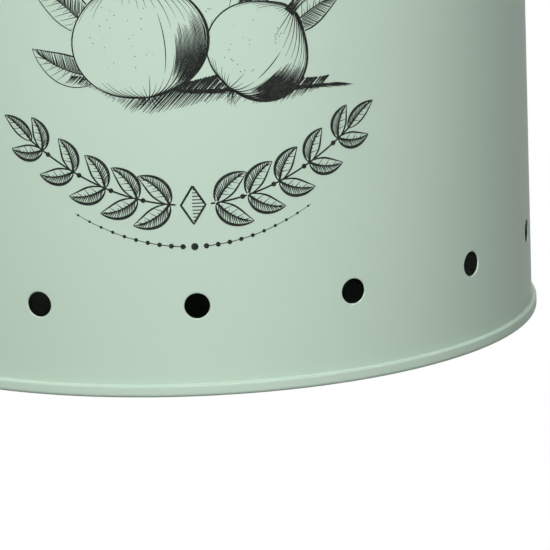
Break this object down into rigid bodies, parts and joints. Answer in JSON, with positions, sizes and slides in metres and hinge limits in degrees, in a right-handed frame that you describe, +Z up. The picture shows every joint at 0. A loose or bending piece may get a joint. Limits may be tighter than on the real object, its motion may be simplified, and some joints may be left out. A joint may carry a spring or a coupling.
{
  "type": "potato storage bin",
  "caption": "Round sheet-steel potato bin with a row of air holes round its foot, drop side handles with wooden grips and a lift-off wooden lid with a turned knob.",
  "frame": {"origin": "centre of the footprint, on the surface the bin stands on", "axes": "+Z up; -Y is the front, where the print is; +X and -X are the sides with the handles; the lock seam is at +Y"},
  "size_m": [0.2848, 0.2628, 0.2894],
  "materials": {
    "body_paint": "satin sage green baked paint",
    "black_steel": "matt black powder coat",
    "zinc_wire": "zinc-plated",
    "bright_steel": "zinc-plated",
    "lid_wood": "oiled acacia",
    "handle_wood": "oiled acacia",
    "knob_wood": "oiled acacia"
  },
  "bodies": {
    "bin": {"body_shell": "body_paint", "base_pan": "body_paint", "rim_wire": "zinc_wire", "right_bracket": "black_steel", "left_bracket": "black_steel", "right_rivets": "black_steel", "left_rivets": "black_steel", "right_rivet_burrs": "bright_steel", "left_rivet_burrs": "bright_steel"},
    "lid": {"lid_panel": "lid_wood", "lid_plug": "lid_wood", "lid_knob": "knob_wood", "knob_screw": "bright_steel", "knob_washer": "bright_steel"},
    "right_handle": {"right_bail": "black_steel"},
    "right_roller": {"right_grip": "handle_wood"},
    "left_handle": {"left_bail": "black_steel"},
    "left_roller": {"left_grip": "handle_wood"}
  },
  "joints": [
    {"name": "lid_lift", "type": "slide", "parent": "bin", "child": "lid", "axis": [0, 0, 1], "range_m": [0, 0.2]},
    {"name": "right_handle_swing", "type": "hinge", "parent": "bin", "child": "right_handle", "pos_m": [0.1285, 0, 0.19], "axis": [0, -1, 0], "range_deg": [0, 165]},
    {"name": "right_grip_spin", "type": "hinge", "parent": "right_handle", "child": "right_roller", "pos_m": [0.1339, 0, 0.14533], "axis": [0, 1, 0], "continuous": true},
    {"name": "left_handle_swing", "type": "hinge", "parent": "bin", "child": "left_handle", "pos_m": [-0.1285, 0, 0.19], "axis": [0, 1, 0], "range_deg": [0, 165]},
    {"name": "left_grip_spin", "type": "hinge", "parent": "left_handle", "child": "left_roller", "pos_m": [-0.1339, 0, 0.14533], "axis": [0, 1, 0], "continuous": true}
  ]
}
